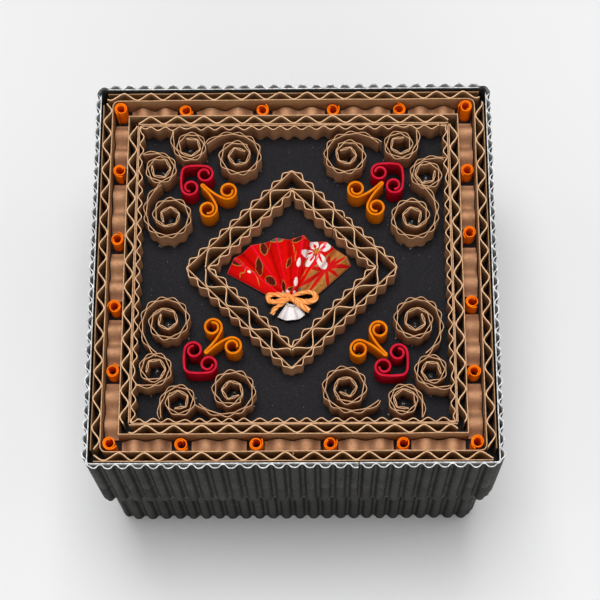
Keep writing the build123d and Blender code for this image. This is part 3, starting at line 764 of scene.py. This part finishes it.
def tileRow(side, seed):
    s = tiles
    piece = Paper("channelTiles" + side.capitalize())
    rng = np.random.default_rng(seed)
    places = (-tubes["middle"], *tubes["places"][side], tubes["middle"])
    deep = s["width"] / 2 - s["sideGap"]
    for before, after in zip(places, places[1:]):
        start = before + tubes["radius"] + 0.04 + s["endGap"] * rng.uniform(0.3, 1.1)
        end = after - tubes["radius"] - 0.04 - s["endGap"] * rng.uniform(0.3, 1.1)
        waves = max(1, round((end - start) / s["pitch"]))
        span = np.linspace(start, end, waves * 18 + 1)
        share = ribs(span - start, (end - start) / waves, 0.0, 0.85)
        height = s["valley"] + (s["crest"] - s["valley"]) * share - s["paper"] / 2
        skew = rng.uniform(-0.012, 0.012)

        def lay(points, turn=sides[side], skew=skew, mid=(start + end) / 2):  # lie the strip down in its channel
            flat = np.column_stack([points[:, 0], -tubes["middle"] + points[:, 2] + skew * (points[:, 0] - mid)])
            return np.column_stack([quarterTurns(flat, turn), panelTop + points[:, 1]])

        wave = np.column_stack([span, height])
        wall(piece, wave, s["paper"], -deep, deep, crest=share, levels=halved, lay=lay)
        floor = np.column_stack([np.linspace(start, end, 24), np.full(24, 0.17)])
        wall(piece, floor, s["paper"], -deep, deep, lay=lay)
    piece.finish("lid", ["channel_tiles_" + side], "kraft_board", kraftTile, kraftEdge)


for k, side in enumerate(sides):
    tubeRow(side, 400 + k)
    tileRow(side, 420 + k)
print("channel filled")


def cornerNames(corner):  # as written in the names of pieces and of nodes
    return corner[0].upper() + corner[1:], "".join("_" + c.lower() if c.isupper() else c for c in corner)


def coil(corner, name, seed):
    s = coils
    kind = s["small"] if name in "ab" else s["big"]
    rng = np.random.default_rng(seed)
    whole = kind["turns"][-1] + kind["tailTurns"]
    count = int(whole * s["samples"]) + 1
    turn = np.linspace(0, whole, count)
    slack = rng.uniform(-0.12, 0.12, len(kind["radii"]))
    slack[-1] = 0  # the outermost radius is kept
    base = np.interp(turn, kind["turns"], np.array(kind["radii"]) + slack)
    base = np.convolve(np.pad(base, 12, mode="edge"), np.ones(25) / 25, "valid") * 1.03 * s["loose"][name]
    facet = np.concatenate([[0], np.cumsum(base[1:] * np.diff(turn) * 2 * math.pi)]) / s["pitch"]
    radius = base.copy()
    knots = np.interp(np.arange(0, int(facet[-1]) + 2), facet, turn)  # the paper bends at its valleys
    for start, end in zip(knots, knots[1:]):
        inside = (turn >= start) & (turn < end)
        ra, rb = np.interp((start, end), turn, base)
        gap = (end - start) * 2 * math.pi
        if gap > 0.05:
            t = (turn[inside] - start) * 2 * math.pi
            radius[inside] = ra * rb * math.sin(gap) / (ra * np.sin(t) + rb * np.sin(gap - t))
    radius = base + 1.25 * (np.convolve(np.pad(radius, 1, mode="edge"), np.ones(3) / 3, "valid") - base)
    radius += wander(turn, 0.1, 0.3, seed + 1)
    room = s["liner"] + s["paper"] + 0.12
    for k in range(s["samples"], count):
        radius[k] = max(radius[k], radius[k - s["samples"]] + room)
    away = np.clip((turn - kind["turns"][-1]) / kind["tailTurns"], 0, 1)
    radius += kind["tail"] * away ** 1.7
    bulge = ribs(facet, 1.0, 0.0, 0.8)
    room = np.full(count, 9.0)
    room[:-s["samples"]] = radius[s["samples"]:] - radius[:-s["samples"]] - s["liner"] - s["paper"] - 0.04
    pressed = np.where(turn > kind["turns"][-1] - 1.05, 1.0, 0.35)
    lift = np.minimum((kind["rib"] - s["paper"] + 0.05) * pressed, np.maximum(room, 0.02)) * bulge
    outer = radius + s["liner"] / 2 + s["paper"] / 2 + 0.02 + lift
    angle = math.radians(s["ends"][name]) - s["spins"][name] * (whole - turn) * 2 * math.pi
    x, y = s["places"][corner][name]
    flipX, flipY = corners[corner]
    shown, written = cornerNames(corner)
    piece = Paper("coil" + shown + name.upper())
    full = panelTop + s["height"]
    sink = 0.25 * rng.uniform(-0.2, 1) * (1 - turn / whole)
    for k, reach in enumerate((radius, outer)):
        path = np.column_stack([flipX * (x + reach * np.cos(angle)), flipY * (y + reach * np.sin(angle))])
        high = np.minimum(full - sink - 0.08 + wander(turn, 0.08, 0.35, seed + 4 + k), full)
        wall(piece, path, (s["liner"], s["paper"])[k], glueTop, high, crest=bulge * k, levels=halved)
    for k in range(2):
        way = rng.uniform(0, 6.28)
        out = rng.uniform(0.0, 0.7)
        dab(piece, flipX * x + out * math.cos(way), flipY * y + s["glueBack"] + out * math.sin(way),
            rng.uniform(0.4, 0.65), rng.uniform(0.3, 0.6), 2, seed + 9 + k)
    for k in range(4):  # glue squeezed out at its foot
        at = rng.integers(count - s["samples"], count)
        foot = outer[at] + s["glueFoot"]
        dab(piece, flipX * (x + foot * math.cos(angle[at])), flipY * (y + foot * math.sin(angle[at])),
            rng.uniform(0.18, 0.38), rng.uniform(0.15, 0.32), 2, seed + 12 + k)
    piece.finish("lid", ["coil_" + written + "_" + name], "kraft_ribbed", kraftRibbed, kraftEdge, glue)


for k, corner in enumerate(corners):
    for j, name in enumerate("abcd"):
        coil(corner, name, 500 + 40 * k + 10 * j)
print("coils rolled")

quilling = dict(
    paper=0.5, height=6.2, gap=0.2,
    hearts=dict(backLeft=(23.87, 23.75), backRight=(23.27, 24.02), frontLeft=(22.22, 22.26), frontRight=(23.46, 23.12)),
    heart=dict(lobe=2.15, tip=1.75, turns=1.25, step=0.9),
    scroll=dict(drop=1.6, arm=2.25, spread=3.45, reach=5.7, turns=1.35, step=0.85, meet=-22),
)


def curl(cx, cy, inner, outer, turns, end, spin):  # smooth spiral from its eye out to the end angle
    share = np.linspace(0, 1, int(turns * 44))
    angle = end - spin * (1 - share) * turns * 2 * math.pi
    radius = inner + (outer - inner) * share ** 0.9
    return np.column_stack([cx + radius * np.cos(angle), cy + radius * np.sin(angle)])


def bowed(a, b, bulge, count=14):  # a run of paper that springs outwards
    t = np.linspace(0, 1, count)[:, None]
    across = np.array([-(b - a)[1], (b - a)[0]]) / np.hypot(*(b - a))
    return a + (b - a) * t + across * bulge * 4 * t * (1 - t)


def curve(a, b, c, d, count):  # a springy run from a to d, led by b and c
    t = np.linspace(0, 1, count)[:, None]
    return (1 - t) ** 3 * a + 3 * t * (1 - t) ** 2 * b + 3 * t * t * (1 - t) * c + t ** 3 * d


def heartPath():
    s = quilling["heart"]
    across = s["lobe"] + (quilling["paper"] + quilling["gap"]) / 2
    left = curl(-across, 0, s["lobe"] - s["step"] * s["turns"], s["lobe"], s["turns"], math.radians(135), -1)
    middle = across + s["lobe"] * math.sqrt(2) - s["tip"] * math.sqrt(2)
    swing = np.radians(np.linspace(135, 90, 9))
    nose = np.column_stack([s["tip"] * np.cos(swing), middle + s["tip"] * np.sin(swing)])
    half = np.vstack([left, bowed(left[-1], nose[0], 0.14)[1:], nose[1:]])
    return np.vstack([half, half[-2::-1] * (-1, 1)])


def scrollPath():
    s = quilling["scroll"]
    meet = math.radians(s["meet"])
    left = curl(-s["spread"], -s["reach"], s["arm"] - s["step"] * s["turns"], s["arm"], s["turns"], meet, 1)
    ahead = np.array([-math.sin(meet), math.cos(meet)])
    fold = np.array([-0.29, -0.25])
    run = curve(left[-1], left[-1] + 1.7 * ahead, fold - (0, 3.2), fold, 24)[1:]
    half = np.vstack([left, run, [(-0.15, 0.0)]])
    return np.vstack([half, half[::-1] * (-1, 1)])


def quill(corner, name, path, slotName, face, edge, seed):
    x, y = quilling["hearts"][corner]
    flipX, flipY = corners[corner]
    spun = turned(path, -45)
    placed = np.column_stack([flipX * (x + spun[:, 0]), flipY * (y + spun[:, 1])])
    shown, written = cornerNames(corner)
    piece = Paper(name + shown)
    full = panelTop + quilling["height"]
    high = np.minimum(full - 0.1 + wander(travel(placed), 0.1, 5, seed), full)
    wall(piece, placed, quilling["paper"], glueTop, high, levels=halved)
    for k in range(2):
        spot = placed[12 if k else -12]
        centre = placed[:40].mean(0) if k else placed[-40:].mean(0)
        dab(piece, *(0.4 * spot + 0.6 * centre), 0.45, 0.35, 2, seed + k)
    piece.finish("lid", [name + "_" + written], slotName, face, edge, glue)


for k, corner in enumerate(corners):
    quill(corner, "heart", heartPath(), "red_quill", redQuill, redEdge, 700 + k)
    shifted = scrollPath() - (0, quilling["scroll"]["drop"])
    quill(corner, "scroll", shifted, "orange_quill", orangeQuill, orangeQuill, 720 + k)
print("quilling set")

fan = dict(
    x=-0.37, y=-6.69, lift=1.35, paper=0.28, neck=1.6, neckHeight=2.2,
    # each fold from right to left: foot, rim and height of its rim, valleys and crests in turn
    folds=(((5.6, -5.2), (14.2, 2.9), -0.8), ((4.6, -4.6), (13.3, 4.6), 0.95), ((1.9, -4.9), (10.3, 7.1), -0.15),
           ((1.0, -4.8), (8.2, 8.6), 1.15), ((0.7, -4.9), (4.1, 9.4), -1.0), ((0.2, -4.7), (2.6, 10.2), 1.65),
           ((-0.4, -5.0), (-1.1, 10.0), -0.95), ((-1.6, -4.6), (-4.3, 9.6), 1.5), ((-1.9, -5.0), (-6.6, 9.3), -0.9),
           ((-2.2, -4.8), (-10.5, 7.7), 1.4), ((-2.5, -5.1), (-12.9, 6.2), -0.8), ((-2.9, -5.1), (-14.7, 4.4), 1.2),
           ((-5.6, -5.4), (-16.5, 1.1), -0.9)),
    tail=(((-1.8, -7.3), (-4.0, -10.5), -0.6), ((-1.5, -7.4), (-3.4, -11.0), 0.35), ((-1.2, -7.4), (-2.5, -11.1), -0.6),
          ((-0.9, -7.4), (-1.7, -11.7), 0.5), ((-0.1, -7.5), (1.1, -11.3), 0.15), ((0.3, -7.4), (1.6, -10.9), -0.5),
          ((0.6, -7.3), (2.8, -10.2), 0.3), ((0.8, -7.1), (2.7, -9.3), -0.6)),
)


def pleats(piece, folds, kinds, rows=18, across=8):  # folded paper from a row of feet out to its rim
    feet, rims, lifts = (np.array(column, float) for column in zip(*folds))
    spot = np.linspace(0, len(folds) - 1, (len(folds) - 1) * across + 1)
    order = np.arange(len(folds))
    foot = np.column_stack([np.interp(spot, order, feet[:, k]) for k in range(2)])
    rim = np.column_stack([np.interp(spot, order, rims[:, k]) for k in range(2)])
    lift = np.interp(spot, order, lifts)
    tall = 1 - np.abs((spot % 2) - 1)
    share = np.linspace(0, 1, rows)
    grid = np.zeros((len(spot), rows, 3))
    for j, t in enumerate(share):
        grid[:, j, :2] = foot + (rim - foot) * t
        grid[:, j, 2] = panelTop + fan["lift"] + lift * (0.35 + 0.65 * t) + 0.25 * (1 - t)
    under = grid - (0, 0, fan["paper"])
    n, m = grid.shape[:2]
    index = np.arange(n * m).reshape(n, m)
    lower = index + n * m
    faces = []
    marks = []
    for table, kind in ((index, kinds[0]), (lower, kinds[1])):
        quad = np.stack([table[:-1, :-1], table[:-1, 1:], table[1:, 1:], table[1:, :-1]], -1).reshape(-1, 4)
        faces += quad.tolist()
        marks += [kind] * len(quad)
    ring = list(index[0, :]) + list(index[1:, -1]) + list(index[-1, -2::-1]) + list(index[-2:0:-1, 0])
    drop = n * m
    for a, b in zip(ring, ring[1:] + ring[:1]):
        faces.append([a, b, b + drop, a + drop])
        marks.append(kinds[1])
    length = np.hypot(*(rim - foot).T)
    edge = np.outer(length, 1 - share).ravel()
    piece.put(np.vstack([grid.reshape(-1, 3), under.reshape(-1, 3)]), faces, marks,
              crest=np.concatenate([np.repeat(tall, m)] * 2), edge=np.concatenate([edge, edge]))


fanPiece = Paper("fanPaper")
pleats(fanPiece, fan["folds"], (0, 1))
pleats(fanPiece, fan["tail"], (1, 1), rows=10)
turnNeck = np.linspace(0, 2 * math.pi * 1.02, 60)
neckReach = fan["neck"] - 0.25 + 0.1 * np.cos(9 * turnNeck)
neckPath = np.column_stack([fan["x"] + neckReach * np.cos(turnNeck), fan["y"] + neckReach * np.sin(turnNeck)])
wall(fanPiece, neckPath, 0.3, glueTop, panelTop + fan["neckHeight"], kinds=(1, 1, 1))
fanPiece.finish("lid", ["fan"], "fan_print", fanPrint, fanWhite, sharp=25)

bow = dict(
    wide=1.3, thick=0.98, low=62.5, twist=1.1, groove=0.24, rough=0.27,
    # plan points of each strand and how high it lies
    strands=(
        (0.0, ((-0.6, -6.2), (-2.0, -5.75), (-3.6, -5.4), (-5.2, -5.3), (-6.1, -5.75), (-6.2, -6.5),
               (-5.6, -7.1), (-4.2, -7.2), (-2.6, -6.9), (-0.6, -6.3))),
        (0.0, ((-0.5, -6.1), (0.9, -5.3), (2.4, -4.85), (4.1, -4.8), (5.25, -5.4), (5.35, -6.4),
               (4.5, -7.1), (2.7, -7.2), (1.2, -6.85), (-0.4, -6.3))),
        (-0.25, ((-1.3, -6.4), (-2.1, -7.0), (-3.3, -7.9), (-4.6, -9.1), (-5.3, -10.4))),
        (-0.1, ((-0.2, -6.4), (0.5, -7.0), (1.5, -7.8), (2.6, -8.7), (4.0, -9.5))),
        (0.35, ((-1.9, -5.3), (-1.2, -5.8), (-0.5, -6.35), (0.2, -7.0), (0.7, -7.6))),
    ),
)


def eased(points, count):  # a smooth line through plan points
    points = np.asarray(points, float)
    padded = np.vstack([2 * points[0] - points[1], points, 2 * points[-1] - points[-2]])
    out = []
    for a, b, c, d in zip(padded, padded[1:], padded[2:], padded[3:]):
        second = 2 * a - 5 * b + 4 * c - d
        third = 3 * b - a - 3 * c + d
        for t in np.linspace(0, 1, 10, endpoint=False):
            out.append(0.5 * (2 * b + (c - a) * t + second * t ** 2 + third * t ** 3))
    out.append(points[-1])
    return even(np.array(out), travel(np.array(out))[-1] / count)


def strand(piece, points, lift, seed):  # twisted raffia along a path
    s = bow
    flat = eased(points, 60)
    count = len(flat)
    run = travel(flat)
    t = np.linspace(0, 1, count)
    path = np.column_stack([flat, s["low"] + lift - 0.25 * np.maximum(np.abs(2 * t - 1), 0) ** 3 * (lift > 0.1)])
    ahead = np.gradient(path, axis=0)
    ahead /= np.linalg.norm(ahead, axis=1)[:, None]
    side = np.cross((0, 0, 1), ahead)
    side /= np.linalg.norm(side, axis=1)[:, None]
    up = np.cross(ahead, side)
    ring = 24
    angle = np.linspace(0, 2 * math.pi, ring, endpoint=False)
    wide = s["wide"] * (1 + wander(run, s["rough"], 1.1, seed))
    thick = s["thick"] * (1 + wander(run, s["rough"], 1.3, seed + 1))
    turn = s["twist"] * run + wander(run, 1.2, 2.2, seed + 2)
    places = np.zeros((count, ring, 3))
    ridge = np.zeros((count, ring))
    for k, a in enumerate(angle):
        ridge[:, k] = 0.5 + 0.5 * np.cos(3 * (a - turn))
        out = 1 - s["groove"] + s["groove"] * ridge[:, k] ** 0.6
        across = side * (0.5 * wide * out * math.cos(a))[:, None]
        places[:, k] = path + across + up * (0.5 * thick * out * math.sin(a))[:, None]
    index = np.arange(count * ring).reshape(count, ring)
    after = np.roll(index, -1, 1)
    faces = np.stack([index[:-1], after[:-1], after[1:], index[1:]], -1).reshape(-1, 4).tolist()
    faces += [index[0, ::-1].tolist(), index[-1].tolist()]
    around = (angle[None, :] - turn[:, None]) / (2 * math.pi)
    piece.put(places, faces, [0] * len(faces), along=np.repeat(run, ring), around=around.ravel(), crest=ridge.ravel())


bowPiece = Paper("fanBowRaffia")
for k, (lift, points) in enumerate(bow["strands"]):
    strand(bowPiece, points, lift, 800 + 5 * k)
bowPiece.finish("lid", ["fan_bow"], "raffia", raffia, sharp=60)
print("fan and bow tied")

stageSpec = dict(key=11.5, fill=1.9, side=1.15, world=0.33)
floorFinish = Finish("stageFloor", 0.55, 0.3)
floorTone = floorFinish.noise(floorFinish.place(), 0.004, 2.0)
floorMaterial = floorFinish.join(colour=floorFinish.mix(floorTone, (0.71, 0.71, 0.715), (0.74, 0.74, 0.745)))
floorMesh = bpy.data.meshes.new("stageFloor")
floorMesh.from_pydata([(-3, -3, 0), (3, -3, 0), (3, 3, 0), (-3, 3, 0)], [], [(0, 1, 2, 3)])
floorMesh.materials.append(floorMaterial)
floor = inScene("stageFloor", floorMesh)


def softbox(name, power, size, place, aim):
    light = bpy.data.lights.new(name, "AREA")
    light.shape = "RECTANGLE"
    light.size, light.size_y = size
    light.energy = power
    lamp = inScene(name, light)
    lamp.location = place
    lamp.rotation_mode = "QUATERNION"
    lamp.rotation_quaternion = (Vector(aim) - Vector(place)).to_track_quat("-Z", "Y")


softbox("overhead", stageSpec["key"], (0.6, 0.6), (-0.03, 0.2, 1.2), (0, 0, 0.05))
softbox("frontFill", stageSpec["fill"], (0.9, 0.5), (0.1, -0.75, 0.55), (0, 0, 0.05))
softbox("leftFill", stageSpec["side"], (0.6, 0.9), (-0.85, 0.05, 0.5), (0, 0, 0.02))
softbox("rightFill", stageSpec["side"], (0.6, 0.9), (0.85, 0.05, 0.5), (0, 0, 0.02))
world = bpy.data.worlds.new("studio")
bpy.context.scene.world = world
world.use_nodes = True
sky = world.node_tree.nodes["Background"].inputs
sky["Color"].default_value = (1, 1, 1, 1)
sky["Strength"].default_value = stageSpec["world"]
bpy.context.scene.view_settings.view_transform = "Standard"

shot = dict(lens=103.62, distance=434.41, elevation=70.7, azimuth=2.34, roll=-2.53, across=1.73, up=-7.94, unit=0.97)
elevation, azimuth, roll = (math.radians(shot[key]) for key in ("elevation", "azimuth", "roll"))
back = Vector((math.sin(azimuth) * math.cos(elevation), -math.cos(azimuth) * math.cos(elevation), math.sin(elevation)))
right = Vector((0, 0, 1)).cross(back).normalized()
upward = back.cross(right)
rolledRight = right * math.cos(roll) + upward * math.sin(roll)
rolledUp = upward * math.cos(roll) - right * math.sin(roll)
away = back * shot["distance"] + rolledRight * shot["across"] + rolledUp * shot["up"]
spot = Vector((0, 0, box["rimTop"] * mm)) + away * shot["unit"] * mm
cameraData = bpy.data.cameras.new("studioCamera")
cameraData.lens = shot["lens"]
cameraData.sensor_width = 36
camera = inScene("studioCamera", cameraData)
camera.matrix_world = Matrix.Translation(spot) @ Matrix((rolledRight, rolledUp, back)).transposed().to_4x4()
bpy.context.scene.camera = camera
print("stage and camera set")
